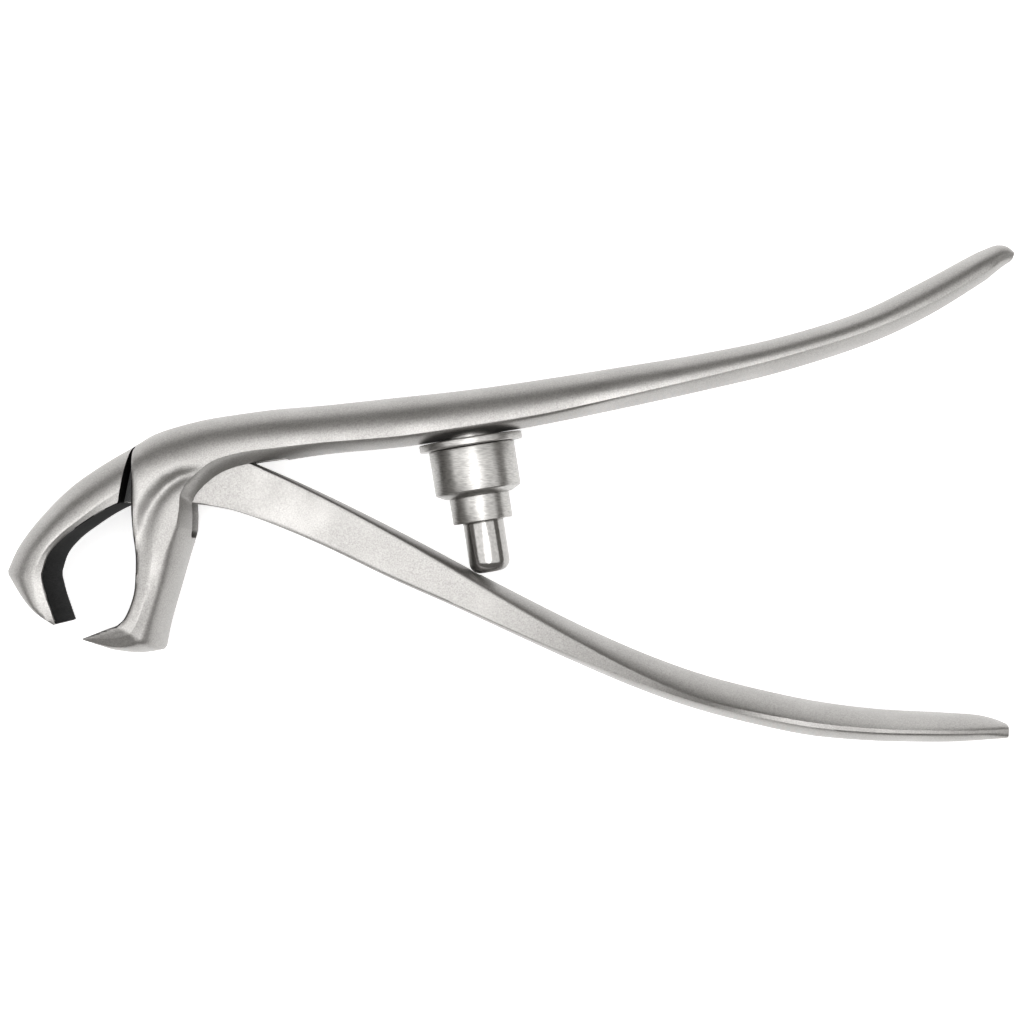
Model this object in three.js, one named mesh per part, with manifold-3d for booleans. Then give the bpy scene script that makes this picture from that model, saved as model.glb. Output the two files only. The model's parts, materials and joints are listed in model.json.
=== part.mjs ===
// Pliers-type nutcracker: two crossed steel levers on a hidden pivot pin, with a three-stage
// telescopic spring unit that pushes the handles apart. Millimetres. The tool lies flat on its
// side: +X runs from the jaws to the handle ends, +Y towards the upper handle, +Z along the pivot.
import * as THREE from "three";
import { mergeVertices } from "three/addons/utils/BufferGeometryUtils.js";
import Module from "manifold-3d";

const wasm = await Module();
wasm.setup();

// ---- driving dimensions -------------------------------------------------------------------
const HALF_THICK = 10.4; // half of the tool's thickness across its flat cheeks
const PIVOT_X = 0.5; // the levers are drawn round a point near the pivot
const PIVOT_Y = -1.5;
const PIN_RADIUS = 2.5;
const PIN_FIT = 0.08; // the pin's gap in the cheeks
const TONGUE_FIT = 0.1; // the pin's gap in the swinging tongue
const SLOT_HALF = 4.3; // half of the slot that the 8 mm tongue swings in

const UNIT_X = 60.4; // where the spring unit's axis leaves the upper handle
const UNIT_Y = 2.4;
const UNIT_TILT = THREE.MathUtils.degToRad(9);

const BOSS_RADIUS = 5.9; // threaded boss that holds the unit in the handle
const BOSS_TOP = -5;
const RECESS_GAP = 0.3;
const FLANGE_RADIUS = 10.35;
const FLANGE_TOP = 0.1;
const FLANGE_BOTTOM = 1.6;
const SPIGOT_BOTTOM = 2.9;
const BASE_BORE = 4.7;
const SEAT_FACE = -3.5; // the spring's fixed end
const BARREL_RADIUS = 8.6;
const BARREL_BOTTOM = 11.6;
const BARREL_BORE = 7.4;
const BARREL_LIP = 10.5; // inner face of the lip that stops the sleeve
const SLEEVE_RADIUS = 6;
const SLEEVE_TOP = 6.5;
const SLEEVE_BOTTOM = 16.8;
const SLEEVE_BORE = 5;
const SLEEVE_LIP = 15.6;
const PLUNGER_RADIUS = 4.1;
const PLUNGER_TOP = 9.5;
const PLUNGER_TIP = 27.1;
const DOME_CORNER = 2.2; // radius round the edge of the plunger's end
const PLUNGER_BORE = 2.9;
const PLUNGER_FLOOR = 25.2; // the spring's moving end
const GROOVE_GAP = 0.3; // round the plunger's end, in the swing lever's groove
const SLIDE_GAP = 0.12; // radial gap of each sliding stage
const RING_HEIGHT = 1;
const RING_GROOVE = 0.5; // depth of a stop ring's groove
const WIRE_RADIUS = 0.4;
const COIL_RADIUS = 2.35;
const COILS = 10;

const LOFT_SIDES = 24;
const TURNED_SIDES = 24;
const DOME_STEPS = 4;
const RINGS_PER_RIB = 2;

// Each lever is lofted through ribs, written as
// [high x, high y, low x, low y, half width, crease, round high, round low].
// A rib spans the lever from its high edge to its low edge. The crease is where it is widest,
// as a fraction of the way up from the low edge. A round of 0 is a square edge, 1 an ellipse,
// and more than 1 a lens. Separate runs meet at a sharp corner.
const FIXED_LEVER_RUNS = [
  [
    [168.6, 39.3, 168.4, 38.5, 1.6, 0.4, 1, 1],
    [167.8, 40.4, 167.6, 37.3, 4.4, 0.35, 1.1, 1.1],
    [165.8, 40.9, 166.0, 35.9, 6.4, 0.3, 1.3, 1.2],
    [161.6, 39.4, 163.4, 33.9, 8.4, 0.28, 1.4, 1.4],
    [148.9, 32.6, 151.9, 26.8, 9.9, 0.32, 1.5, 1.5],
    [137.2, 27.1, 139.6, 21.1, 10.3, 0.35, 1.5, 1.5],
    [121.6, 22.3, 123.2, 15.8, 10.4, 0.35, 1.5, 1.5],
    [105.7, 19.0, 107.1, 11.9, 10.2, 0.32, 1.4, 1.5],
    [89.7, 16.4, 91.1, 8.4, 9.8, 0.28, 1.3, 1.5],
    [73.8, 13.9, 75.0, 5.1, 9.5, 0.22, 1.2, 1.4],
    [59.4, 11.9, 60.7, 2.7, 9.5, 0.2, 1.1, 1.3],
    [45.6, 10.4, 46.8, 0.6, 9.7, 0.2, 1.05, 1.2],
    [31.6, 8.9, 32.4, -0.8, 10.1, 0.22, 1, 1.1],
    [22.0, 8.1, 22.9, -2.2, 10.5, 0.24, 0.95, 1],
    [14.4, 6.9, 16.4, -3.2, 10.7, 0.25, 0.9, 0.9],
    [8.2, 5.8, 11.6, -4.8, 10.8, 0.26, 0.85, 0.8],
    [2.6, 4.4, 8.2, -7.2, 10.9, 0.3, 0.8, 0.7],
    [-2.2, 2.8, 6.1, -9.6, 10.9, 0.36, 0.75, 0.6],
    [-5.9, 0.6, 5.6, -11.0, 10.9, 0.4, 0.6, 0.5],
  ],
  [
    [-5.95, 0.2, 5.6, -11.5, 10.9, 0.4, 0.15, 0.45],
    [-5.9, -6.0, 5.8, -13.4, 10.9, 0.4, 0.1, 0.4],
    [-5.9, -11.8, 5.8, -15.8, 10.9, 0.4, 0.1, 0.35],
    [-5.6, -16.7, 5.4, -17.6, 10.9, 0.4, 0.1, 0.3],
    [-5.1, -21.5, 4.2, -21.6, 10.9, 0.4, 0.1, 0.3],
    [-5.2, -27.0, 2.8, -26.4, 10.9, 0.4, 0.1, 0.3],
    [-6.0, -30.6, 1.4, -31.2, 10.9, 0.4, 0.1, 0.3],
    [-7.3, -33.4, 0.3, -35.4, 10.9, 0.4, 0.1, 0.3],
    [-8.6, -34.6, -0.4, -39.3, 10.9, 0.4, 0.1, 0.2],
  ],
  [
    [-9.0, -34.8, -0.8, -39.8, 10.9, 0.4, 0.1, 0.15],
    [-10.8, -35.4, -5.0, -40.4, 10.8, 0.45, 0.1, 0.15],
    [-12.6, -36.1, -9.4, -39.9, 10.7, 0.5, 0.1, 0.15],
    [-15.7, -37.3, -15.4, -37.7, 10.5, 0.5, 0.1, 0.1],
  ],
];

const SWING_LEVER_RUNS = [
  [
    [167.3, -55.0, 167.1, -57.1, 3.6, 0.5, 1, 1],
    [165.8, -54.0, 165.4, -57.5, 5.8, 0.5, 1.1, 1.1],
    [161.9, -53.0, 161.5, -57.9, 7.8, 0.52, 1.3, 1.2],
    [154.4, -52.5, 154.0, -58.2, 9.4, 0.5, 1.5, 1.4],
    [142.9, -51.9, 142.0, -58.0, 10.2, 0.48, 1.5, 1.4],
    [130.6, -50.4, 129.0, -57.0, 10.4, 0.42, 1.5, 1.3],
    [118.4, -47.9, 116.5, -54.5, 10.2, 0.36, 1.5, 1.1],
    [107.0, -44.9, 104.5, -51.3, 9.6, 0.32, 1.4, 0.9],
    [95.8, -40.9, 93.0, -47.2, 8.7, 0.36, 1.2, 0.7],
    [83.9, -35.7, 80.8, -42.0, 7.6, 0.42, 0.9, 0.5],
    [72.4, -30.0, 68.9, -36.6, 6.4, 0.5, 0.6, 0.4],
    [60.8, -24.0, 57.0, -31.1, 5.4, 0.5, 0.4, 0.35],
    [48.6, -17.5, 44.8, -25.7, 4.7, 0.5, 0.3, 0.3],
    [36.4, -11.3, 32.2, -19.6, 4.3, 0.5, 0.2, 0.2],
    [25.6, -6.2, 21.5, -15.0, 4.1, 0.5, 0.15, 0.15],
    [17.2, -2.6, 13.0, -12.0, 4.0, 0.5, 0.1, 0.1],
    [10.0, 0.4, 6.4, -10.9, 4.0, 0.5, 0.1, 0.1],
    [4.0, 1.6, 1.4, -10.6, 4.0, 0.5, 0.1, 0.1],
    [-1.6, 1.6, -3.6, -10.5, 4.0, 0.5, 0.1, 0.1],
    [-6.2, 0.4, -8.1, -10.6, 4.0, 0.5, 0.1, 0.1],
  ],
  [
    [-6.3, 0.35, -8.3, -10.7, 10.9, 0.35, 0.7, 0.1],
    [-11.5, -2.9, -12.0, -12.6, 10.9, 0.35, 0.75, 0.1],
    [-17.7, -7.4, -15.8, -15.1, 10.8, 0.32, 0.75, 0.1],
    [-23.1, -13.2, -19.2, -17.7, 10.8, 0.3, 0.7, 0.1],
    [-27.4, -19.0, -21.8, -20.8, 10.7, 0.3, 0.6, 0.1],
    [-30.6, -23.9, -23.0, -24.4, 10.6, 0.3, 0.4, 0.1],
  ],
  [
    [-30.4, -24.6, -23.0, -25.4, 10.6, 0.3, 0.2, 0.1],
    [-27.4, -28.8, -22.2, -28.6, 10.5, 0.4, 0.2, 0.1],
    [-24.3, -32.0, -21.2, -31.6, 10.5, 0.5, 0.15, 0.1],
    [-20.9, -34.5, -20.3, -34.2, 10.5, 0.5, 0.1, 0.1],
  ],
];

// ---- solids ----------------------------------------------------------------------------------
function solidOf(geometry) {
  const bare = geometry.index ? geometry : geometry.clone();
  bare.deleteAttribute("normal");
  bare.deleteAttribute("uv");
  const merged = mergeVertices(bare, 1e-4);
  const mesh = new wasm.Mesh({
    numProp: 3,
    vertProperties: new Float32Array(merged.attributes.position.array),
    triVerts: new Uint32Array(merged.index.array),
  });
  return new wasm.Manifold(mesh);
}

function geometryOf(solid) {
  const mesh = solid.getMesh();
  const geometry = new THREE.BufferGeometry();
  geometry.setAttribute("position", new THREE.BufferAttribute(mesh.vertProperties, 3));
  geometry.setIndex(new THREE.BufferAttribute(mesh.triVerts, 1));
  return geometry;
}

function ribsBetween(run) {
  const ribs = [];
  for (let i = 0; i < run.length - 1; i++) {
    const before = run[Math.max(i - 1, 0)];
    const after = run[Math.min(i + 2, run.length - 1)];
    for (let step = 0; step < RINGS_PER_RIB; step++) {
      const t = step / RINGS_PER_RIB;
      ribs.push(run[i].map((value, k) => blend(before[k], value, run[i + 1][k], after[k], t)));
    }
  }
  ribs.push(run[run.length - 1]);
  return ribs;
}

// Catmull-Rom between b and c, with its slopes held down where the ribs are unevenly spaced.
function blend(a, b, c, d, t) {
  const limit = 1.5 * Math.abs(c - b);
  const start = THREE.MathUtils.clamp((c - a) / 2, -limit, limit);
  const end = THREE.MathUtils.clamp((d - b) / 2, -limit, limit);
  const t2 = t * t;
  const t3 = t2 * t;
  return (2 * t3 - 3 * t2 + 1) * b + (t3 - 2 * t2 + t) * start + (3 * t2 - 2 * t3) * c + (t3 - t2) * end;
}

function ribPoint(rib, turn, reach) {
  const [highX, highY, lowX, lowY, halfWidth, crease, roundHigh, roundLow] = rib;
  const rise = Math.abs(Math.sin(turn)) < 1e-9 ? 0 : Math.sin(turn);
  const across = Math.abs(Math.cos(turn)) < 1e-9 ? 0 : Math.cos(turn);
  const round = rise >= 0 ? roundHigh : roundLow;
  const widthPower = Math.min(1, 0.25 + 0.75 * round);
  const risePower = 0.25 + 0.75 * round;
  const up = Math.abs(rise) ** risePower * reach;
  const out = Math.sign(across) * Math.abs(across) ** widthPower * halfWidth * reach;
  const creaseX = lowX + (highX - lowX) * crease;
  const creaseY = lowY + (highY - lowY) * crease;
  const edgeX = rise >= 0 ? highX : lowX;
  const edgeY = rise >= 0 ? highY : lowY;
  return new THREE.Vector3(
    creaseX + (edgeX - creaseX) * up,
    creaseY + (edgeY - creaseY) * up,
    THREE.MathUtils.clamp(out, -HALF_THICK, HALF_THICK),
  );
}

function loft(runs) {
  const ribs = runs.flatMap(ribsBetween);
  const steps = ribs.length - 1;
  const form = new THREE.CylinderGeometry(1, 1, steps, LOFT_SIDES, steps);
  const spots = form.attributes.position;
  for (let i = 0; i < spots.count; i++) {
    const rib = ribs[Math.round(spots.getY(i) + steps / 2)];
    const reach = Math.round(Math.hypot(spots.getX(i), spots.getZ(i)));
    const turn = Math.atan2(spots.getZ(i), -spots.getX(i));
    const point = ribPoint(rib, turn, reach);
    spots.setXYZ(i, point.x, point.y, point.z);
  }
  return solidOf(form);
}

// A turned solid on the pivot's direction, from z = low to z = high.
function roundBar(radius, x, y, low, high) {
  const bar = new THREE.CylinderGeometry(radius, radius, high - low, TURNED_SIDES);
  bar.rotateX(Math.PI / 2);
  bar.translate(x, y, (low + high) / 2);
  return solidOf(bar);
}

// A plate with the given side outline, from z = -half to z = half.
function plate(outline, half) {
  const shape = new THREE.Shape(outline.map(([x, y]) => new THREE.Vector2(x, y)));
  const form = new THREE.ExtrudeGeometry(shape, { depth: 2 * half, bevelEnabled: false });
  form.translate(0, 0, -half);
  return solidOf(form);
}

// A lathe profile of [radius, depth along the spring unit, downwards], set on the unit's axis.
function turned(profile) {
  const points = profile.map(([radius, depth]) => new THREE.Vector2(radius, -depth));
  const form = new THREE.LatheGeometry(points.reverse(), TURNED_SIDES);
  form.rotateZ(UNIT_TILT);
  form.translate(UNIT_X, UNIT_Y, 0);
  return solidOf(form);
}

// The rounded edge of a plunger's end, from its side at the given radius to its flat tip.
function domeEdge(radius, tip) {
  const points = [];
  for (let k = 0; k <= DOME_STEPS; k++) {
    const turn = (k / DOME_STEPS) * (Math.PI / 2);
    const out = radius - DOME_CORNER * (1 - Math.cos(turn));
    points.push([out, tip - DOME_CORNER * (1 - Math.sin(turn))]);
  }
  return points;
}

// ---- levers ----------------------------------------------------------------------------------
const fixedForging = loft(FIXED_LEVER_RUNS);
const swingForging = loft(SWING_LEVER_RUNS);

// The slot is open to the front, the top of the nose and the back, and its roof leaves room
// for the tongue when the handles are squeezed.
const slot = plate(
  [
    [-12, 8],
    [-12, -14],
    [-2, -15.6],
    [4, -17.6],
    [12, -17.6],
    [26, -9],
    [24, -1.4],
    [17.5, 0.4],
    [10, 2.5],
    [4, 2.8],
    [1.5, 2.8],
    [1.5, 8],
  ],
  SLOT_HALF,
);
const cheekBore = roundBar(PIN_RADIUS + PIN_FIT, PIVOT_X, PIVOT_Y, -20, 20);
const tongueBore = roundBar(PIN_RADIUS + TONGUE_FIT, PIVOT_X, PIVOT_Y, -20, 20);
const recess = turned([
  [0, BOSS_TOP - RECESS_GAP],
  [BOSS_RADIUS + RECESS_GAP, BOSS_TOP - RECESS_GAP],
  [BOSS_RADIUS + RECESS_GAP, FLANGE_TOP],
  [0, FLANGE_TOP],
]);
const flangeSeat = turned([
  [0, FLANGE_TOP - RECESS_GAP],
  [FLANGE_RADIUS + RECESS_GAP, FLANGE_TOP - RECESS_GAP],
  [FLANGE_RADIUS + RECESS_GAP, FLANGE_BOTTOM],
  [0, FLANGE_BOTTOM],
]);

// The shallow groove across the swing lever in which the plunger's dome sits.
const groove = turned([
  [0, PLUNGER_TIP - 5],
  [PLUNGER_RADIUS + GROOVE_GAP, PLUNGER_TIP - 5],
  ...domeEdge(PLUNGER_RADIUS + GROOVE_GAP, PLUNGER_TIP + GROOVE_GAP),
  [0, PLUNGER_TIP + GROOVE_GAP],
]);

const fixedLever = fixedForging.subtract(slot).subtract(cheekBore).subtract(recess).subtract(flangeSeat);
const swingLever = swingForging.subtract(tongueBore).subtract(groove);
const pivotPin = roundBar(PIN_RADIUS, PIVOT_X, PIVOT_Y, -HALF_THICK, HALF_THICK).intersect(fixedForging);

// ---- telescopic spring unit ------------------------------------------------------------------
const mountFlange = turned([
  [0, BOSS_TOP],
  [BOSS_RADIUS - 0.5, BOSS_TOP],
  [BOSS_RADIUS, BOSS_TOP + 0.5],
  [BOSS_RADIUS, FLANGE_TOP],
  [FLANGE_RADIUS - 0.4, FLANGE_TOP],
  [FLANGE_RADIUS, FLANGE_TOP + 0.4],
  [FLANGE_RADIUS, FLANGE_BOTTOM - 0.4],
  [FLANGE_RADIUS - 0.4, FLANGE_BOTTOM],
  [BARREL_BORE - SLIDE_GAP, FLANGE_BOTTOM],
  [BARREL_BORE - SLIDE_GAP, SPIGOT_BOTTOM],
  [BASE_BORE, SPIGOT_BOTTOM],
  [BASE_BORE, SEAT_FACE],
  [0, SEAT_FACE],
]);

const barrelMouth = SLEEVE_RADIUS + SLIDE_GAP;
const barrelTop = FLANGE_BOTTOM + 0.1;
const barrel = turned([
  [BARREL_BORE, barrelTop],
  [BARREL_RADIUS, barrelTop],
  [BARREL_RADIUS, BARREL_BOTTOM - 1],
  [barrelMouth + 0.5, BARREL_BOTTOM],
  [barrelMouth, BARREL_BOTTOM],
  [barrelMouth, BARREL_LIP],
  [BARREL_BORE, BARREL_LIP],
  [BARREL_BORE, barrelTop],
]);

const sleeveRingTop = BARREL_LIP - SLIDE_GAP - RING_HEIGHT;
const sleeveMouth = PLUNGER_RADIUS + SLIDE_GAP;
const sleeve = turned([
  [SLEEVE_BORE, SLEEVE_TOP],
  [SLEEVE_RADIUS, SLEEVE_TOP],
  [SLEEVE_RADIUS, sleeveRingTop - SLIDE_GAP],
  [SLEEVE_RADIUS - RING_GROOVE, sleeveRingTop - SLIDE_GAP],
  [SLEEVE_RADIUS - RING_GROOVE, sleeveRingTop + RING_HEIGHT + SLIDE_GAP],
  [SLEEVE_RADIUS, sleeveRingTop + RING_HEIGHT + SLIDE_GAP],
  [SLEEVE_RADIUS, SLEEVE_BOTTOM - 0.5],
  [SLEEVE_RADIUS - 0.5, SLEEVE_BOTTOM],
  [sleeveMouth, SLEEVE_BOTTOM],
  [sleeveMouth, SLEEVE_LIP],
  [SLEEVE_BORE, SLEEVE_LIP],
  [SLEEVE_BORE, SLEEVE_TOP],
]);

function stopRing(shaftRadius, boreRadius, top) {
  const inner = shaftRadius - RING_GROOVE + SLIDE_GAP;
  const outer = boreRadius - SLIDE_GAP;
  const bottom = top + RING_HEIGHT;
  return turned([
    [inner, top],
    [outer, top],
    [outer, bottom],
    [inner, bottom],
    [inner, top],
  ]);
}
const sleeveStopRing = stopRing(SLEEVE_RADIUS, BARREL_BORE, sleeveRingTop);

const plungerRingTop = SLEEVE_LIP - SLIDE_GAP - RING_HEIGHT;
const plunger = turned([
  [PLUNGER_BORE, PLUNGER_TOP],
  [PLUNGER_RADIUS, PLUNGER_TOP],
  [PLUNGER_RADIUS, plungerRingTop - SLIDE_GAP],
  [PLUNGER_RADIUS - RING_GROOVE, plungerRingTop - SLIDE_GAP],
  [PLUNGER_RADIUS - RING_GROOVE, plungerRingTop + RING_HEIGHT + SLIDE_GAP],
  [PLUNGER_RADIUS, plungerRingTop + RING_HEIGHT + SLIDE_GAP],
  ...domeEdge(PLUNGER_RADIUS, PLUNGER_TIP - 0.1),
  [0, PLUNGER_TIP],
  [0, PLUNGER_FLOOR],
  [PLUNGER_BORE, PLUNGER_FLOOR - 0.6],
  [PLUNGER_BORE, PLUNGER_TOP],
]);
const plungerStopRing = stopRing(PLUNGER_RADIUS, SLEEVE_BORE, plungerRingTop);

class Helix extends THREE.Curve {
  getPoint(t, target = new THREE.Vector3()) {
    const top = SEAT_FACE + WIRE_RADIUS + SLIDE_GAP;
    const bottom = PLUNGER_FLOOR - 0.6 - WIRE_RADIUS - SLIDE_GAP;
    const turn = t * COILS * 2 * Math.PI;
    const depth = top + (bottom - top) * t;
    return target.set(COIL_RADIUS * Math.cos(turn), -depth, COIL_RADIUS * Math.sin(turn));
  }
}

function springCoil() {
  const wire = new THREE.Shape();
  wire.absarc(0, 0, WIRE_RADIUS, 0, 2 * Math.PI);
  const form = new THREE.ExtrudeGeometry(wire, {
    steps: COILS * 9,
    curveSegments: 3,
    bevelEnabled: false,
    extrudePath: new Helix(),
  });
  form.rotateZ(UNIT_TILT);
  form.translate(UNIT_X, UNIT_Y, 0);
  return solidOf(form);
}

// ---- finishes and assembly -------------------------------------------------------------------
const satinSteel = new THREE.MeshStandardMaterial({ color: 0xb4b2ad, roughness: 0.42, metalness: 1 });
const turnedSteel = new THREE.MeshStandardMaterial({ color: 0xa9a7a3, roughness: 0.3, metalness: 1 });
const polishedSteel = new THREE.MeshStandardMaterial({ color: 0xc6c4c0, roughness: 0.12, metalness: 1 });
const springSteel = new THREE.MeshStandardMaterial({ color: 0x8d8c8a, roughness: 0.35, metalness: 1 });

const tool = new THREE.Group();
function addPiece(name, solid, material) {
  const piece = new THREE.Mesh(geometryOf(solid), material);
  piece.name = name;
  tool.add(piece);
}

addPiece("fixed_lever", fixedLever, satinSteel);
addPiece("swing_lever", swingLever, satinSteel);
addPiece("pivot_pin", pivotPin, satinSteel);
addPiece("mount_flange", mountFlange, turnedSteel);
addPiece("spring_barrel", barrel, turnedSteel);
addPiece("sleeve", sleeve, turnedSteel);
addPiece("sleeve_stop_ring", sleeveStopRing, springSteel);
addPiece("plunger", plunger, polishedSteel);
addPiece("plunger_stop_ring", plungerStopRing, springSteel);
addPiece("return_spring", springCoil(), springSteel);

// The origin is on the table, under the middle of the tool.
const nutcracker = new THREE.Group();
nutcracker.add(tool);
const extent = new THREE.Box3().setFromObject(tool);
const middle = extent.getCenter(new THREE.Vector3());
tool.position.set(-middle.x, -middle.y, -extent.min.z);

export default nutcracker;
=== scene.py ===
import json
import math

import bmesh
import bpy
from mathutils import Matrix, Vector


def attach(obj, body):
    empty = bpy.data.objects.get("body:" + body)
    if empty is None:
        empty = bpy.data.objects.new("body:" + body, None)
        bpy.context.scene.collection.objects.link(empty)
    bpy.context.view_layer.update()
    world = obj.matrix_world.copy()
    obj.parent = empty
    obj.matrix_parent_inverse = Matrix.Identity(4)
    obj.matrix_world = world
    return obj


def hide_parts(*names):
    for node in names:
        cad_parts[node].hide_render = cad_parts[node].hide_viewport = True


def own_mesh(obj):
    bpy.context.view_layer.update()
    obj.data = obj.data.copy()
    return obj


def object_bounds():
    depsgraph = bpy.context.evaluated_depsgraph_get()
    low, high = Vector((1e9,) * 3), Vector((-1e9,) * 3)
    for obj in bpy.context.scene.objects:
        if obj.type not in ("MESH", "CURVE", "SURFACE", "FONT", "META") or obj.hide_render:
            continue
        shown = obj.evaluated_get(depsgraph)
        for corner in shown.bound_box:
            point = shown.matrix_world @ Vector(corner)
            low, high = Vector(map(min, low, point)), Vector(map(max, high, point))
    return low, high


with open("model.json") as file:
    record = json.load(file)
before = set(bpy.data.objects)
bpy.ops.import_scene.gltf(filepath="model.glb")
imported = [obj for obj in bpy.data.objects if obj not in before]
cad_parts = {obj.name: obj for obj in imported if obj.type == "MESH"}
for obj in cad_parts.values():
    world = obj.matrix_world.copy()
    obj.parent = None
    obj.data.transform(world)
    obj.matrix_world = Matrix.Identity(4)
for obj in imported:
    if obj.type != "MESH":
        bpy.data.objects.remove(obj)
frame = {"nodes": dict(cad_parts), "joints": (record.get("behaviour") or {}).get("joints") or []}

cad_bounds = [list(corner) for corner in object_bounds()]

# ---- The camera: the tool lies on its side and is seen from straight above, near its middle,
# from a little under half a metre, so that the jaws' inner faces show past their near edges.
lowest, highest = (Vector(corner) for corner in cad_bounds)
middle = (lowest + highest) / 2
CAMERA_RISE = 0.44
CAMERA_OFFSET = (-0.0002, -0.00375)
FRAME_WIDTH = 0.2048
SENSOR_WIDTH = 36

camera_data = bpy.data.cameras.new("camera")
camera_data.sensor_width = SENSOR_WIDTH
camera_data.lens = SENSOR_WIDTH * CAMERA_RISE / FRAME_WIDTH
camera_data.clip_start = 0.01
camera = bpy.data.objects.new("camera", camera_data)
camera.location = middle + Vector((*CAMERA_OFFSET, CAMERA_RISE))
bpy.context.scene.collection.objects.link(camera)
bpy.context.scene.camera = camera


# ---- The studio: a white table, a soft box on each side of the camera with a narrow gap
# between them, a small one above, and a dim room, so satin steel reads light, dark and light
# round its curves. Places and sizes are in metres.
SIDE_BOX_SIZE = (0.8, 1.3)
TOP_BOX_SIZE = (0.5, 0.6)
ROOM_COLOUR = (1, 0.965, 0.92, 1)
ROOM_STRENGTH = 0.24
TABLE_HALF = 8
TABLE_COLOUR = (0.94, 0.94, 0.94, 1)
TABLE_GLOW = 0.58


def soft_box(name, place, size, watts):
    light = bpy.data.lights.new(name, "AREA")
    light.shape = "RECTANGLE"
    light.size, light.size_y = size
    light.energy = watts
    holder = bpy.data.objects.new(name, light)
    holder.location = place
    holder.rotation_euler = (middle - Vector(place)).to_track_quat("-Z", "Y").to_euler()
    bpy.context.scene.collection.objects.link(holder)


soft_box("left_soft_box", (-0.42, 0.05, 0.9), SIDE_BOX_SIZE, watts=5.0)
soft_box("right_soft_box", (0.45, 0.05, 0.9), SIDE_BOX_SIZE, watts=3.9)
soft_box("top_soft_box", (-0.02, -0.03, 1.0), TOP_BOX_SIZE, watts=2.0)

room = bpy.data.worlds.new("dim_room")
room.use_nodes = True
room_light = room.node_tree.nodes["Background"]
room_light.inputs["Color"].default_value = ROOM_COLOUR
room_light.inputs["Strength"].default_value = ROOM_STRENGTH
bpy.context.scene.world = room
bpy.context.scene.view_settings.view_transform = "Standard"

table_mesh = bmesh.new()
bmesh.ops.create_grid(table_mesh, x_segments=1, y_segments=1, size=TABLE_HALF)
table_data = bpy.data.meshes.new("table")
table_mesh.to_mesh(table_data)
table_mesh.free()
table = bpy.data.objects.new("table", table_data)
bpy.context.scene.collection.objects.link(table)
table_finish = bpy.data.materials.new("white_table")
table_finish.use_nodes = True
table_shader = table_finish.node_tree.nodes["Principled BSDF"]
table_shader.inputs["Base Color"].default_value = TABLE_COLOUR
table_shader.inputs["Roughness"].default_value = 0.7
table_shader.inputs["Emission Color"].default_value = (1, 1, 1, 1)
table_shader.inputs["Emission Strength"].default_value = TABLE_GLOW
table_data.materials.append(table_finish)

# ---- Fixed lever: upper handle, forked body and rear jaw, drop-forged in one from stainless
# steel, then ground, blasted and brushed satin. Its fork is milled from the back with
# rounded corners, and the ends of its pivot pin are ground away flush under the skin.
MM = 0.001
pivot = next(joint for joint in frame["joints"] if joint["name"] == "pivot")
PIVOT_DRAWN = Vector((0.5, -1.5, 0))
drawing_origin = Vector(pivot["pos_m"]) - PIVOT_DRAWN * MM

CROWN_STEPS = 24
CROWN_TRIAL_STEPS = 240
FLANK_STEPS = 14
RIB_SPACING = 1.0
SHARP_DEGREES = 38

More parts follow.
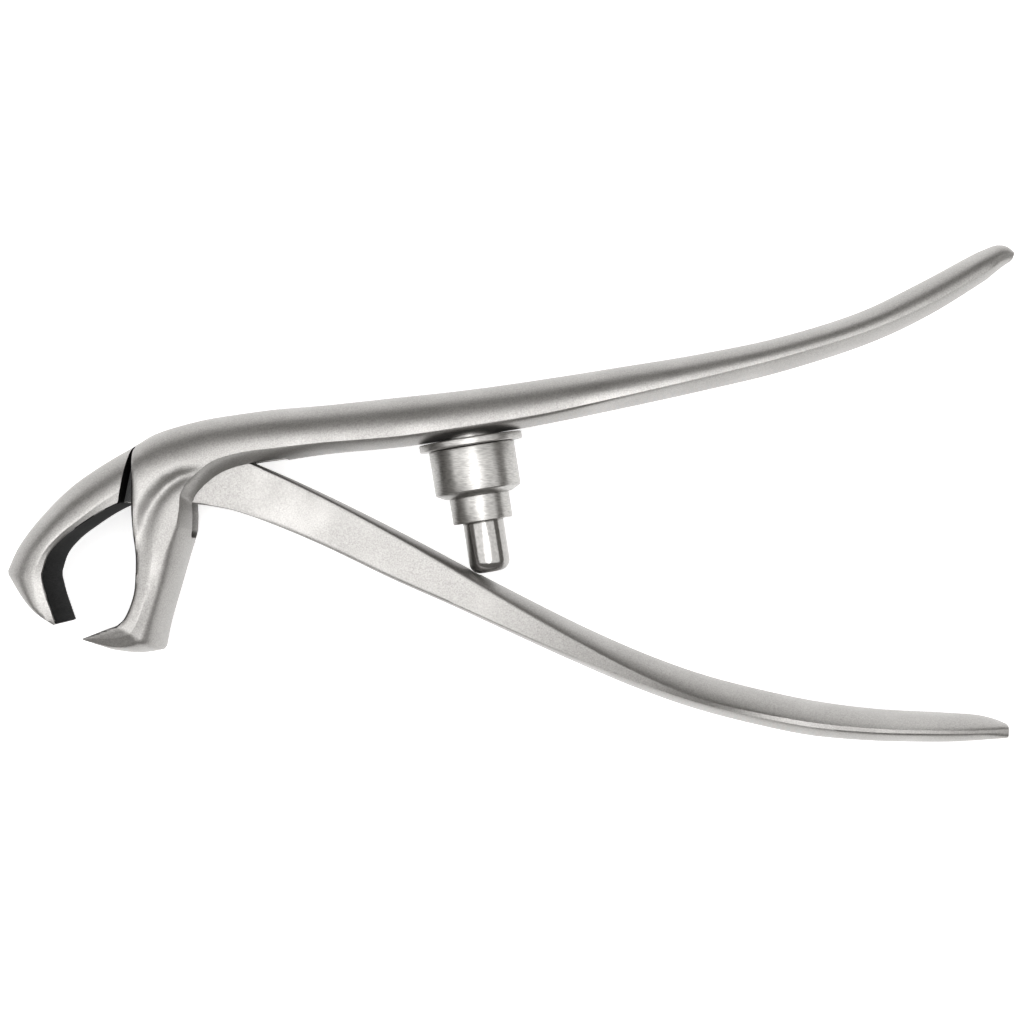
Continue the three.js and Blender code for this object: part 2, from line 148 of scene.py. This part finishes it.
# Ribs across the forging in millimetres, from the handle's end to the jaw's tip: high edge
# x, y; low edge x, y; half width and height of the upper crease; the same of the lower
# crease; fullness above and below (1 a lens, 2 an ellipse, 6 almost square). Heights are
# fractions from the low edge. Runs meet at a sharp corner.
FIXED_RUNS = [
    [
        (168.3, 39.3, 167.6, 37.2, 5.2, 0.48, 5.2, 0.42, 3, 3),
        (167.1, 40.5, 166.6, 36.5, 6, 0.42, 6, 0.38, 2.6, 2.4),
        (165.2, 40.8, 165.2, 35.4, 6.9, 0.36, 6.9, 0.32, 2.4, 1.8),
        (161.6, 39.4, 163.4, 33.9, 8.4, 0.31, 8.4, 0.28, 2.4, 1.4),
        (148.9, 32.6, 151.9, 26.8, 9.9, 0.33, 9.9, 0.31, 2.4, 1.3),
        (137.2, 27.1, 139.6, 21.1, 10.3, 0.36, 10.3, 0.34, 2.4, 1.2),
        (121.6, 22.3, 123.2, 15.8, 10.4, 0.37, 10.4, 0.35, 2.4, 1.2),
        (105.7, 19.0, 107.1, 11.9, 10.2, 0.32, 10.2, 0.3, 2.4, 1.2),
        (89.7, 16.4, 91.1, 8.4, 9.8, 0.26, 9.8, 0.24, 2.4, 1.4),
        (73.8, 13.9, 75.0, 5.1, 9.6, 0.21, 9.6, 0.2, 2.4, 2),
        (59.4, 11.9, 60.7, 2.7, 9.6, 0.2, 9.6, 0.2, 2.4, 2.2),
        (45.6, 10.4, 46.8, 0.6, 9.8, 0.2, 9.8, 0.19, 2.4, 1.7),
        (31.6, 8.9, 32.4, -0.8, 10.1, 0.23, 10.1, 0.21, 2.4, 1.2),
        (22.0, 8.1, 22.9, -2.2, 10.3, 0.25, 10.3, 0.23, 2.4, 1.2),
        (14.4, 7.1, 16.4, -3.2, 10.4, 0.26, 10.4, 0.24, 2.4, 1.2),
        (8.1, 6.1, 11.6, -4.8, 10.4, 0.27, 10.4, 0.24, 2.4, 1.2),
        (2.4, 4.7, 8.2, -7.2, 10.4, 0.3, 10.4, 0.2, 2.4, 1.25),
        (-2.4, 3.1, 6.1, -9.6, 10.4, 0.4, 10.4, 0.17, 2.4, 1.25),
        (-6.0, 0.95, 5.6, -11.0, 10.4, 0.5, 10.4, 0.15, 2.4, 1.3),
    ],
    [
        (-5.98, -0.1, 5.65, -11.6, 10.4, 0.55, 10.4, 0.155, 12, 1.3),
        (-5.9, -6.0, 5.8, -13.4, 10.4, 0.6, 10.4, 0.18, 12, 1.35),
        (-5.9, -11.8, 5.8, -15.8, 10.4, 0.6, 10.3, 0.22, 12, 1.4),
        (-5.6, -16.7, 5.4, -17.6, 10.4, 0.62, 10.1, 0.28, 12, 1.5),
        (-5.1, -21.5, 4.2, -21.6, 10.3, 0.63, 9.9, 0.38, 12, 1.7),
        (-5.2, -27.0, 2.8, -26.4, 10.3, 0.64, 9.9, 0.44, 12, 1.85),
        (-6.0, -30.6, 1.4, -31.2, 10.3, 0.64, 9.9, 0.46, 12, 1.9),
        (-7.3, -33.4, 0.3, -35.4, 10.3, 0.64, 9.9, 0.46, 12, 1.9),
        (-8.6, -34.6, -0.4, -39.3, 10.3, 0.66, 9.9, 0.46, 12, 1.9),
    ],
    [
        (-9.0, -34.8, -0.8, -39.8, 10.2, 0.66, 9.9, 0.46, 12, 1.9),
        (-10.8, -35.4, -5.0, -40.4, 9.6, 0.66, 9.3, 0.36, 12, 1.8),
        (-12.6, -36.1, -9.4, -39.9, 8.9, 0.66, 8.7, 0.32, 12, 2),
        (-15.7, -37.3, -15.4, -37.7, 7.6, 0.66, 7.5, 0.3, 8, 2),
    ],
]


# A smooth step from one rib's value to the next, held back so that it can't overshoot.
def eased(before, start, end, after, t):
    limit = 1.5 * abs(end - start)
    leave = max(-limit, min(limit, (end - before) / 2))
    arrive = max(-limit, min(limit, (after - start) / 2))
    return ((2 * t**3 - 3 * t**2 + 1) * start + (t**3 - 2 * t**2 + t) * leave
            + (3 * t**2 - 2 * t**3) * end + (t**3 - t**2) * arrive)


def ribs_along(run):
    ribs = []
    for i, (here, there) in enumerate(zip(run, run[1:])):
        before, after = run[max(i - 1, 0)], run[min(i + 2, len(run) - 1)]
        length = max(math.dist(here[:2], there[:2]), math.dist(here[2:4], there[2:4]))
        steps = max(1, round(length / RIB_SPACING))
        for step in range(steps):
            parts = zip(before, here, there, after)
            ribs.append([eased(*part, step / steps) for part in parts])
    return ribs + [list(run[-1])]


# Quarter of a rounded section, from its crown to its crease, in even steps.
def crown_points(half, height, fullness, steps):
    fine = []
    for i in range(CROWN_TRIAL_STEPS + 1):
        out = math.sin(math.pi / (2 * CROWN_TRIAL_STEPS) * i)
        rise = (1 - out ** max(2, fullness)) ** (1 / fullness)
        fine.append(Vector((half * out, height * rise)))
    lengths = [0]
    for a, b in zip(fine, fine[1:]):
        lengths.append(lengths[-1] + (b - a).length)
    points = []
    k = 0
    for step in range(steps):
        goal = lengths[-1] * step / steps
        while lengths[k + 1] < goal:
            k += 1
        part = (goal - lengths[k]) / (lengths[k + 1] - lengths[k])
        points.append(fine[k].lerp(fine[k + 1], part))
    return points


# The closed outline of one rib: crown, flank and underside, and their mirror image.
def rib_outline(rib):
    high, low = Vector((rib[0], rib[1], 0)), Vector((rib[2], rib[3], 0))
    upper_half, upper_rise, lower_half, lower_rise, above, below = rib[4:]
    tall = max((high - low).length, 0.1)
    side = [(out, upper_rise + rise / tall)
            for out, rise in crown_points(upper_half, tall * (1 - upper_rise), above, CROWN_STEPS)]
    for i in range(FLANK_STEPS + 1):
        t = i / FLANK_STEPS
        side.append((upper_half + (lower_half - upper_half) * t,
                     upper_rise + (lower_rise - upper_rise) * t))
    under = crown_points(lower_half, tall * lower_rise, below, CROWN_STEPS)
    side += [(out, lower_rise - drop / tall) for out, drop in reversed(under)]
    outline = [low.lerp(high, rise) + Vector((0, 0, out)) for out, rise in side]
    mirrored = [point * Vector((1, 1, -1)) for point in outline[-2:0:-1]]
    return outline + mirrored


# Rings of vertices along the ribs, bridged into one closed form.
def forge(runs):
    form = bmesh.new()
    last = None
    ends = []
    ribs = [rib for run in runs for rib in ribs_along(run)]
    for rib in ribs:
        outline = rib_outline(rib)
        ring = bmesh.ops.create_circle(form, segments=len(outline), radius=1)["verts"]
        for vert, spot in zip(ring, outline):
            vert.co = drawing_origin + spot * MM
        loop = list(dict.fromkeys(edge for vert in ring for edge in vert.link_edges))
        if last:
            bmesh.ops.bridge_loops(form, edges=last + loop)
        else:
            ends.append(loop)
        last = loop
    ends.append(last)
    for loop in ends:
        bmesh.ops.edgeloop_fill(form, edges=loop)
    bmesh.ops.recalc_face_normals(form, faces=form.faces)
    return form


def finish_mesh(name, form, sharp_degrees=SHARP_DEGREES):
    data = bpy.data.meshes.new(name)
    form.to_mesh(data)
    form.free()
    piece = bpy.data.objects.new(name, data)
    bpy.context.scene.collection.objects.link(piece)
    data.shade_smooth()
    data.set_sharp_from_angle(angle=math.radians(sharp_degrees))
    return piece


# A hollow pressed into both cheeks along a smooth line: x, y, depth, half breadth, in
# millimetres. It fades out towards the middle plane.
HOLLOW_STARTS = 3
HOLLOW_FADES = 4


def press_hollow(form, line):
    for vert in form.verts:
        spot = (vert.co - drawing_origin) / MM
        if abs(spot.z) < HOLLOW_STARTS:
            continue
        away, along = nearest_on_line(spot, line)
        start, end = line[int(along)], line[min(int(along) + 1, len(line) - 1)]
        depth, breadth = (a + (b - a) * (along % 1) for a, b in zip(start[2:], end[2:]))
        share = min(1, (abs(spot.z) - HOLLOW_STARTS) / HOLLOW_FADES)
        press = depth * math.exp(-((away / breadth) ** 2)) * share
        vert.co.z -= math.copysign(press * MM, spot.z)


# How far a point is from a line of points, and how many steps along it.
def nearest_on_line(spot, line):
    best, place = math.inf, 0
    for i, (start, end) in enumerate(zip(line, line[1:])):
        a, b = Vector(start[:2]), Vector(end[:2])
        t = max(0, min(1, (spot.xy - a).dot(b - a) / (b - a).length_squared))
        away = (spot.xy - a.lerp(b, t)).length
        if away < best:
            best, place = away, i + t
    return best, place


# The rounding of the handle's back runs on over the body until the wedge cuts it off.
def round_back(form, line, depth, half, fullness):
    for vert in form.verts:
        spot = (vert.co - drawing_origin) / MM
        away, along = nearest_on_line(spot, line)
        if 0 < along < len(line) - 1 and away < depth:
            limit = half * (1 - (1 - away / depth) ** fullness) ** (1 / fullness)
            if abs(spot.z) > limit:
                vert.co.z -= math.copysign((abs(spot.z) - limit) * MM, spot.z)


# Cuts one closed form out of a piece, and uses the cutter up.
def mill(piece, cutter):
    cut = piece.modifiers.new("mill", "BOOLEAN")
    cut.object = cutter
    cut.operation = "DIFFERENCE"
    cut.solver = "EXACT"
    depsgraph = bpy.context.evaluated_depsgraph_get()
    milled = bpy.data.meshes.new_from_object(piece.evaluated_get(depsgraph))
    piece.modifiers.clear()
    piece.data = milled
    bpy.data.objects.remove(cutter)
    milled.shade_smooth()
    milled.set_sharp_from_angle(angle=math.radians(SHARP_DEGREES))


HOLLOW = [(9, -4.4, 0, 1.2), (6.3, -5, 0.5, 1.3), (4, -5.6, 0.9, 1.4), (1.4, -7.3, 1.1, 1.5),
          (-1, -10, 1.1, 1.6), (-2.6, -13, 1.1, 1.8), (-3.8, -17, 1.0, 2.1), (-4.8, -22, 0.8, 2.4),
          (-5.3, -27, 0.5, 2.4), (-6.4, -30.5, 0.3, 2.2), (-7.6, -33.2, 0.1, 1.6), (-8, -34, 0, 1)]
BACK_LINE = [(0, 4.0), (-2.4, 3.1), (-6.0, 0.95), (-9.7, -1.6), (-16, -6.2)]
BACK_DEPTH = 8.1
BACK_HALF = 10.4
BACK_FULLNESS = 2.4
SLOT_SIDE = [(-12, -3.6), (-12, -13.8), (-2, -15.4), (6, -17.8), (14, -17.8), (26, -9),
             (24, -1.4), (17.5, 0.4), (10, 2.5), (4, 2.6), (1.5, 2.3), (-2.2, 1.4), (-5.9, -0.4)]
SLOT_HALF = 4.3
SLOT_FLOOR = -13
SLOT_CORNER = 1.6
LEVEL = 1e-7

fixed_form = forge(FIXED_RUNS)
press_hollow(fixed_form, HOLLOW)
round_back(fixed_form, BACK_LINE, BACK_DEPTH, BACK_HALF, BACK_FULLNESS)
fixed_lever = finish_mesh("fixed_lever_forging", fixed_form)

slot_form = bmesh.new()
slot_verts = [slot_form.verts.new(drawing_origin + Vector((x, y, -SLOT_HALF)) * MM)
              for x, y in SLOT_SIDE]
slot_face = slot_form.faces.new(slot_verts)
slot_depth = bmesh.ops.extrude_face_region(slot_form, geom=[slot_face])["geom"]
slot_far = [part for part in slot_depth if isinstance(part, bmesh.types.BMVert)]
bmesh.ops.translate(slot_form, verts=slot_far, vec=(0, 0, 2 * SLOT_HALF * MM))
bmesh.ops.recalc_face_normals(slot_form, faces=slot_form.faces)
slot_floor = [edge for edge in slot_form.edges
              if all(vert.co.y < drawing_origin.y + SLOT_FLOOR * MM for vert in edge.verts)
              and abs(edge.verts[0].co.z - edge.verts[1].co.z) < LEVEL]
bmesh.ops.bevel(slot_form, geom=slot_floor, offset=SLOT_CORNER * MM, segments=5, profile=0.5,
                affect="EDGES", material=-1)
mill(fixed_lever, finish_mesh("slot_cutter", slot_form))

UNIT_TILT = math.radians(9)
UNIT_TOP_DRAWN = Vector((60.4, 2.4, 0))
TURNED_STEPS = 96
CORNER_ANGLE = 0.5
BOSS_RECESS = [(0, -5.3), (6.2, -5.3), (6.2, 0.1), (0, 0.1), (0, -5.3)]
FLANGE_SEAT = [(0, -0.2), (10.65, -0.2), (10.65, 1.9), (0, 1.9), (0, -0.2)]

unit_top = drawing_origin + UNIT_TOP_DRAWN * MM
unit_place = (Matrix.Translation(unit_top) @ Matrix.Rotation(UNIT_TILT, 4, "Z")
              @ Matrix.Rotation(-math.pi / 2, 4, "X"))


# A turned form on the spring unit's axis: radius and depth below the handle, in millimetres.
def turn(name, profile, soften=0.25):
    form = bmesh.new()
    verts = [form.verts.new((radius * MM, 0, -depth * MM)) for radius, depth in profile]
    for a, b in zip(verts, verts[1:]):
        form.edges.new((a, b))
    bmesh.ops.spin(form, geom=form.verts[:] + form.edges[:], cent=(0, 0, 0), axis=(0, 0, 1),
                   angle=2 * math.pi, steps=TURNED_STEPS, use_merge=True)
    bmesh.ops.remove_doubles(form, verts=form.verts, dist=1e-6)
    bmesh.ops.recalc_face_normals(form, faces=form.faces)
    corners = [edge for edge in form.edges
               if edge.is_manifold and edge.calc_face_angle() > CORNER_ANGLE
               and abs(edge.verts[0].co.z - edge.verts[1].co.z) < LEVEL]
    if soften:
        bmesh.ops.bevel(form, geom=corners, offset=soften * MM, segments=3, profile=0.5,
                        affect="EDGES", clamp_overlap=True, material=-1)
    bmesh.ops.transform(form, matrix=unit_place, verts=form.verts)
    bmesh.ops.recalc_face_normals(form, faces=form.faces)
    return finish_mesh(name, form, 30)


mill(fixed_lever, turn("boss_recess", BOSS_RECESS, soften=0))
mill(fixed_lever, turn("flange_seat", FLANGE_SEAT, soften=0))

PIN_RADIUS = 2.5
PIN_HALF = 7.4
PRESS_FIT = 0.02
PIN_END_ROOM = 0.03


# The drill for the pivot pin, square through the levers.
def pin_drill(radius, half):
    form = bmesh.new()
    bmesh.ops.create_cone(form, cap_ends=True, segments=64, radius1=radius * MM, radius2=radius * MM,
                          depth=2 * half * MM)
    bmesh.ops.translate(form, verts=form.verts, vec=Vector(pivot["pos_m"]))
    return finish_mesh("pin_drill", form)


mill(fixed_lever, pin_drill(PIN_RADIUS + PRESS_FIT, PIN_HALF + PIN_END_ROOM))


# Every steel finish here has a fine grain that breaks up its colour, roughness and surface,
# and a slow cloud that makes the roughness uneven.
NOISE_LOW, NOISE_HIGH = 0.3, 0.7
CLOUD_SCALE = 90
GRAIN_SHARE = 0.35
BUMP_STRENGTH = 0.5


def noise(nodes, links, place, scale, detail, stretch=(1, 1, 1)):
    mapping = nodes.new("ShaderNodeMapping")
    mapping.inputs["Scale"].default_value = stretch
    links.new(place, mapping.inputs["Vector"])
    pattern = nodes.new("ShaderNodeTexNoise")
    pattern.inputs["Scale"].default_value = scale
    pattern.inputs["Detail"].default_value = detail
    links.new(mapping.outputs["Vector"], pattern.inputs["Vector"])
    return pattern.outputs["Fac"]


def ranged(nodes, links, value, low, high):
    spread = nodes.new("ShaderNodeMapRange")
    spread.inputs["From Min"].default_value = NOISE_LOW
    spread.inputs["From Max"].default_value = NOISE_HIGH
    spread.inputs["To Min"].default_value = low
    spread.inputs["To Max"].default_value = high
    links.new(value, spread.inputs["Value"])
    return spread.outputs["Result"]


def steel(name, dark, light, smooth, rough, grain_size, grain_depth, stretch=(1, 1, 1), rim=1):
    finish = bpy.data.materials.new(name)
    finish.use_nodes = True
    nodes, links = finish.node_tree.nodes, finish.node_tree.links
    shader = nodes["Principled BSDF"]
    shader.inputs["Metallic"].default_value = 1
    shader.inputs["Specular Tint"].default_value = (rim, rim, rim, 1)
    place = nodes.new("ShaderNodeTexCoord").outputs["Object"]
    grain = noise(nodes, links, place, 1 / grain_size, 3, stretch)
    cloud = noise(nodes, links, place, CLOUD_SCALE, 2)
    tone = nodes.new("ShaderNodeMix")
    tone.data_type = "RGBA"
    tone.inputs["A"].default_value = (*dark, 1)
    tone.inputs["B"].default_value = (*light, 1)
    links.new(ranged(nodes, links, grain, 0, 1), tone.inputs["Factor"])
    links.new(tone.outputs["Result"], shader.inputs["Base Color"])
    mixed = nodes.new("ShaderNodeMath")
    mixed.operation = "MULTIPLY_ADD"
    mixed.inputs[1].default_value = GRAIN_SHARE
    links.new(grain, mixed.inputs[0])
    links.new(cloud, mixed.inputs[2])
    uneven = ranged(nodes, links, mixed.outputs["Value"], smooth, rough)
    links.new(uneven, shader.inputs["Roughness"])
    bump = nodes.new("ShaderNodeBump")
    bump.inputs["Strength"].default_value = BUMP_STRENGTH
    bump.inputs["Distance"].default_value = grain_depth
    links.new(grain, bump.inputs["Height"])
    links.new(bump.outputs["Normal"], shader.inputs["Normal"])
    return finish


satin = steel("blasted_satin_steel", dark=(0.3, 0.293, 0.285), light=(0.45, 0.44, 0.428),
              smooth=0.34, rough=0.47, grain_size=0.00028, grain_depth=0.00004)
# Near-black steel with dim reflections: painted shade for faces that sit in shadow in the wedge, the
# slot and the jaws.
painted_shade_steel = steel("painted_shade_jaw_steel", dark=(0.04, 0.04, 0.041), light=(0.085, 0.085, 0.085),
               smooth=0.42, rough=0.52, grain_size=0.00025, grain_depth=0.00001,
               stretch=(1, 1, 0.15), rim=0.3)

# The front face of wedge and jaw lies in shade and takes the near-black steel as painted shade. Near
# the crown only what stands square to the front counts as that face, so the crown stays satin. Each
# lever has satin as its first finish and the painted-shade steel as its second.
PAINTED_SHADE_FINISH = 1
FRONT_FROM = -4
FRONT_TOP = 1
CROWN_ZONE = -3
SQUARE, LEANING = 0.9, 0.45
fixed_lever.data.materials.append(satin)
fixed_lever.data.materials.append(painted_shade_steel)
# Painted shade: the front faces of wedge and jaw get the near-black steel.
for face in fixed_lever.data.polygons:
    spot = (face.center - drawing_origin) / MM
    facing = SQUARE if spot.y > CROWN_ZONE else LEANING
    at_front = spot.x < FRONT_FROM and spot.y < FRONT_TOP
    if at_front and face.normal.x < -facing and abs(face.normal.z) < 0.5:
        face.material_index = PAINTED_SHADE_FINISH
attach(fixed_lever, "upper_lever")
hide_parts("fixed_lever")

# ---- Pivot pin: a hardened 5 mm pin through both cheeks and the tongue, pressed in and
# ground off with the cheeks, so it stays out of sight below the satin surface.
PIN_CHAMFER = 0.4
pin_form = bmesh.new()
bmesh.ops.create_cone(pin_form, cap_ends=True, segments=48, radius1=PIN_RADIUS * MM,
                      radius2=PIN_RADIUS * MM, depth=2 * PIN_HALF * MM)
pin_rims = [edge for edge in pin_form.edges
            if abs(edge.verts[0].co.z - edge.verts[1].co.z) < LEVEL]
bmesh.ops.bevel(pin_form, geom=pin_rims, offset=PIN_CHAMFER * MM, segments=3, profile=0.5,
                affect="EDGES", material=-1)
bmesh.ops.translate(pin_form, verts=pin_form.verts, vec=Vector(pivot["pos_m"]))
pivot_pin = finish_mesh("pivot_pin_hardened", pin_form)
pivot_pin.data.materials.append(satin)
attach(pivot_pin, "upper_lever")
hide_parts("pivot_pin")

# ---- Swing lever: lower handle, flat tongue and curved front jaw, one forging like the
# other. It is a bar on edge by the joint and spreads to a leaf in the hand. The nut side of
# its jaw, the shoulder that faces the body and the tongue's sides in the slot lie in shade and take
# the near-black steel as painted shade.
SWING_RUNS = [
    [
        (166.7, -54.3, 166.6, -57.2, 6.8, 0.52, 6.8, 0.42, 4, 4),
        (165.0, -53.7, 164.8, -57.5, 7.3, 0.53, 7.3, 0.42, 2.4, 2.6),
        (161.9, -53.0, 161.5, -57.9, 8.1, 0.53, 8.1, 0.41, 1.5, 1.6),
        (154.4, -52.5, 154.0, -58.2, 9.4, 0.53, 9.4, 0.41, 1.2, 1.6),
        (142.9, -51.9, 142.0, -58.0, 10.2, 0.51, 10.2, 0.39, 1.1, 1.6),
        (130.6, -50.4, 129.0, -57.0, 10.4, 0.48, 10.4, 0.35, 1.1, 1.5),
        (118.4, -47.9, 116.5, -54.5, 10.1, 0.42, 10.3, 0.3, 1.1, 1.5),
        (107.0, -44.9, 104.5, -51.3, 9.4, 0.38, 9.8, 0.25, 1.1, 1.5),
        (95.8, -40.9, 93.0, -47.2, 8.4, 0.45, 8.9, 0.22, 1.15, 1.5),
        (83.9, -35.7, 80.8, -42.0, 7.2, 0.58, 7.9, 0.17, 1.2, 1.6),
        (72.4, -30.0, 68.9, -36.6, 6.0, 0.68, 6.6, 0.12, 1.3, 2),
        (60.8, -24.0, 57.0, -31.1, 5.1, 0.78, 5.5, 0.09, 1.5, 2.2),
        (48.6, -17.5, 44.8, -25.7, 4.6, 0.85, 4.8, 0.07, 1.8, 2.4),
        (36.4, -11.3, 32.2, -19.6, 4.2, 0.9, 4.3, 0.055, 2, 2.6),
        (25.6, -6.2, 21.5, -15.0, 4.0, 0.93, 4.1, 0.045, 2.5, 3),
        (17.2, -2.6, 13.0, -12.0, 4.0, 0.95, 4.0, 0.04, 3, 5),
        (10.0, 0.4, 6.4, -10.9, 4.0, 0.95, 4.0, 0.04, 4, 5),
        (3.6, 1.7, 1.4, -10.6, 4.0, 0.95, 4.0, 0.04, 4, 5),
        (0.8, 1.85, -1.0, -10.55, 4.0, 0.95, 4.0, 0.04, 4, 5),
        (-1.8, 1.15, -3.7, -10.5, 4.0, 0.95, 4.0, 0.04, 4, 5),
        (-6.2, -1.4, -8.1, -10.6, 4.0, 0.95, 4.0, 0.04, 4, 5),
    ],
    [
        (-6.35, 0.7, -8.3, -10.7, 10.4, 0.22, 10.1, 0.015, 2.2, 8),
        (-12.6, -2.9, -12.0, -12.6, 10.4, 0.16, 10.1, 0.02, 2.1, 8),
        (-19.0, -7.4, -15.8, -15.1, 10.4, 0.12, 10.1, 0.02, 2.1, 8),
        (-24.8, -13.2, -19.2, -17.7, 10.4, 0.12, 10.1, 0.03, 2.1, 8),
        (-29.2, -19.0, -21.8, -20.8, 10.4, 0.14, 10.1, 0.03, 2.1, 8),
        (-31.6, -24.0, -23.0, -24.4, 10.4, 0.18, 10.1, 0.03, 2, 8),
    ],
    [
        (-31.4, -24.7, -23.0, -25.4, 10.4, 0.2, 10.1, 0.03, 2.2, 8),
        (-28.2, -29.1, -22.2, -28.6, 10.4, 0.3, 10.1, 0.05, 3, 8),
        (-24.7, -32.3, -21.2, -31.6, 10.4, 0.5, 10.1, 0.06, 5, 8),
        (-20.9, -34.5, -20.3, -34.2, 10.3, 0.6, 10.1, 0.2, 8, 8),
    ],
]
RUNNING_FIT = 0.05
TONGUE_DRILL_HALF = 4.5
PLUNGER_RADIUS = 4.1
DOME_TIP = 27.1
DOME_CORNER = 2.2
GROOVE_ROOM = 0.3
GROOVE_START = 22


# The domed end of the plunger, as radius and depth.
def dome(radius, tip):
    turns = [math.radians(angle) for angle in range(0, 91, 9)]
    return [(radius - DOME_CORNER * (1 - math.cos(turn_by)),
             tip - DOME_CORNER * (1 - math.sin(turn_by))) for turn_by in turns]


groove_radius = PLUNGER_RADIUS + GROOVE_ROOM
groove_tip = DOME_TIP + GROOVE_ROOM
groove = ([(0, GROOVE_START), (groove_radius, GROOVE_START)] + dome(groove_radius, groove_tip)
          + [(0, groove_tip), (0, GROOVE_START)])

swing_lever = finish_mesh("swing_lever_forging", forge(SWING_RUNS))
mill(swing_lever, turn("dome_groove", groove, soften=0))
mill(swing_lever, pin_drill(PIN_RADIUS + RUNNING_FIT, TONGUE_DRILL_HALF))
swing_lever.data.materials.append(satin)
swing_lever.data.materials.append(painted_shade_steel)
# Painted shade: nut side, shoulder and the tongue's sides inside the slot get the near-black steel.
for face in swing_lever.data.polygons:
    spot = (face.center - drawing_origin) / MM
    nut_side = spot.x < -7.5 and face.normal.x * 0.75 - face.normal.y * 0.55 > 0.35
    shoulder = -9 < spot.x < -6 and face.normal.x > 0.8
    in_slot = -9 < spot.x < 2 and abs(spot.z) < SLOT_HALF and abs(face.normal.z) > 0.9
    if in_slot or (nut_side or shoulder) and abs(face.normal.z) < 0.4:
        face.material_index = PAINTED_SHADE_FINISH
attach(swing_lever, "lower_lever")
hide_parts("swing_lever")

# ---- The telescopic spring unit: flange, barrel, sleeve and plunger, turned from bar and
# slid into one another. The flange's threaded boss screws into the upper handle. Profiles
# are radius and depth below the handle, in millimetres.
PLUNGER_FLOOR = 25.3
flange = turn("mount_flange_turned", [
    (0, -5), (5.9, -5), (5.9, 0.1), (10.35, 0.1), (10.35, 1.6), (7.28, 1.6), (7.28, 2.9),
    (4.7, 2.9), (4.7, -3.5), (0, -3.5)])
barrel = turn("spring_barrel_turned", [
    (7.4, 1.7), (8.6, 1.7), (8.6, 10.6), (6.62, 11.6), (6.12, 11.6), (6.12, 10.5), (7.4, 10.5),
    (7.4, 1.7)])
sleeve = turn("sleeve_turned", [
    (5, 6.5), (6, 6.5), (6, 9.2), (5.5, 9.2), (5.5, 10.5), (6, 10.5), (6, 16.8), (4.22, 16.8),
    (4.22, 15.6), (5, 15.6), (5, 6.5)], soften=0.2)
plunger = turn("plunger_polished", [
    (2.9, 9.5), (PLUNGER_RADIUS, 9.5), (PLUNGER_RADIUS, 14.3), (3.6, 14.3), (3.6, 15.6),
    (PLUNGER_RADIUS, 15.6)]
    + dome(PLUNGER_RADIUS, DOME_TIP)
    + [(0, DOME_TIP), (0, PLUNGER_FLOOR), (2.9, PLUNGER_FLOOR), (2.9, 9.5)], soften=0.15)

turned_steel = steel("turned_steel", dark=(0.3, 0.295, 0.285), light=(0.52, 0.51, 0.495),
                     smooth=0.24, rough=0.34, grain_size=0.0003, grain_depth=0.000012,
                     stretch=(0.25, 1.6, 0.25))
polished = steel("polished_steel", dark=(0.33, 0.325, 0.315), light=(0.42, 0.41, 0.4),
                 smooth=0.1, rough=0.18, grain_size=0.0006, grain_depth=0.000003)
for piece, node, body, finish, slot_name in (
        (flange, "mount_flange", "upper_lever", turned_steel, "turned_steel"),
        (barrel, "spring_barrel", "upper_lever", turned_steel, "turned_steel"),
        (sleeve, "sleeve", "middle_stage", turned_steel, "turned_steel"),
        (plunger, "plunger", "plunger_stage", polished, "polished_steel")):
    piece.data.materials.append(finish)
    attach(piece, body)
    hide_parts(node)

# ---- Stop rings: thin rings of spring steel, snapped into grooves, that keep the sleeve in
# the barrel and the plunger in the sleeve. They are out of sight inside.
spring_steel = steel("spring_steel", dark=(0.3, 0.3, 0.3), light=(0.42, 0.42, 0.41), smooth=0.3,
                     rough=0.42, grain_size=0.0004, grain_depth=0.000005)
for node in ("sleeve_stop_ring", "plunger_stop_ring"):
    frame["nodes"][node].data.materials.clear()
    frame["nodes"][node].data.materials.append(spring_steel)

# ---- Return spring: ten coils of 0.8 mm wire with closed ends, standing in the flange's base
# and pushing in the hollow plunger.
WIRE_RADIUS = 0.4
COIL_RADIUS = 2.35
COILS = 10
CLOSED_RISE = 0.82
SPRING_TOP = -3.5
END_ROOM = 0.02
STEPS_PER_COIL = 28
WIRE_SIDES = 10
spring_form = bmesh.new()
wire_rise = PLUNGER_FLOOR - SPRING_TOP - 2 * WIRE_RADIUS - 2 * END_ROOM
open_rise = (wire_rise - 2 * CLOSED_RISE) / (COILS - 2)
wire_depth = SPRING_TOP + WIRE_RADIUS + END_ROOM
upright = Matrix.Rotation(math.pi / 2, 4, "X")
last_loop = None
for step in range(COILS * STEPS_PER_COIL + 1):
    coil = step / STEPS_PER_COIL
    around = Matrix.Rotation(2 * math.pi * coil, 4, "Z")
    ring = bmesh.ops.create_circle(spring_form, segments=WIRE_SIDES,
                                   radius=WIRE_RADIUS * MM)["verts"]
    lift = Matrix.Translation((COIL_RADIUS * MM, 0, -wire_depth * MM))
    bmesh.ops.transform(spring_form, matrix=unit_place @ around @ lift @ upright, verts=ring)
    loop = list(dict.fromkeys(edge for vert in ring for edge in vert.link_edges))
    if last_loop:
        bmesh.ops.bridge_loops(spring_form, edges=last_loop + loop)
    else:
        bmesh.ops.edgeloop_fill(spring_form, edges=loop)
    last_loop = loop
    rise = open_rise if 1 <= coil < COILS - 1 else CLOSED_RISE
    wire_depth += rise / STEPS_PER_COIL
bmesh.ops.edgeloop_fill(spring_form, edges=last_loop)
bmesh.ops.recalc_face_normals(spring_form, faces=spring_form.faces)
return_spring = finish_mesh("return_spring_coil", spring_form)
return_spring.data.materials.append(spring_steel)
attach(return_spring, "upper_lever")
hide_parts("return_spring")
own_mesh(return_spring)
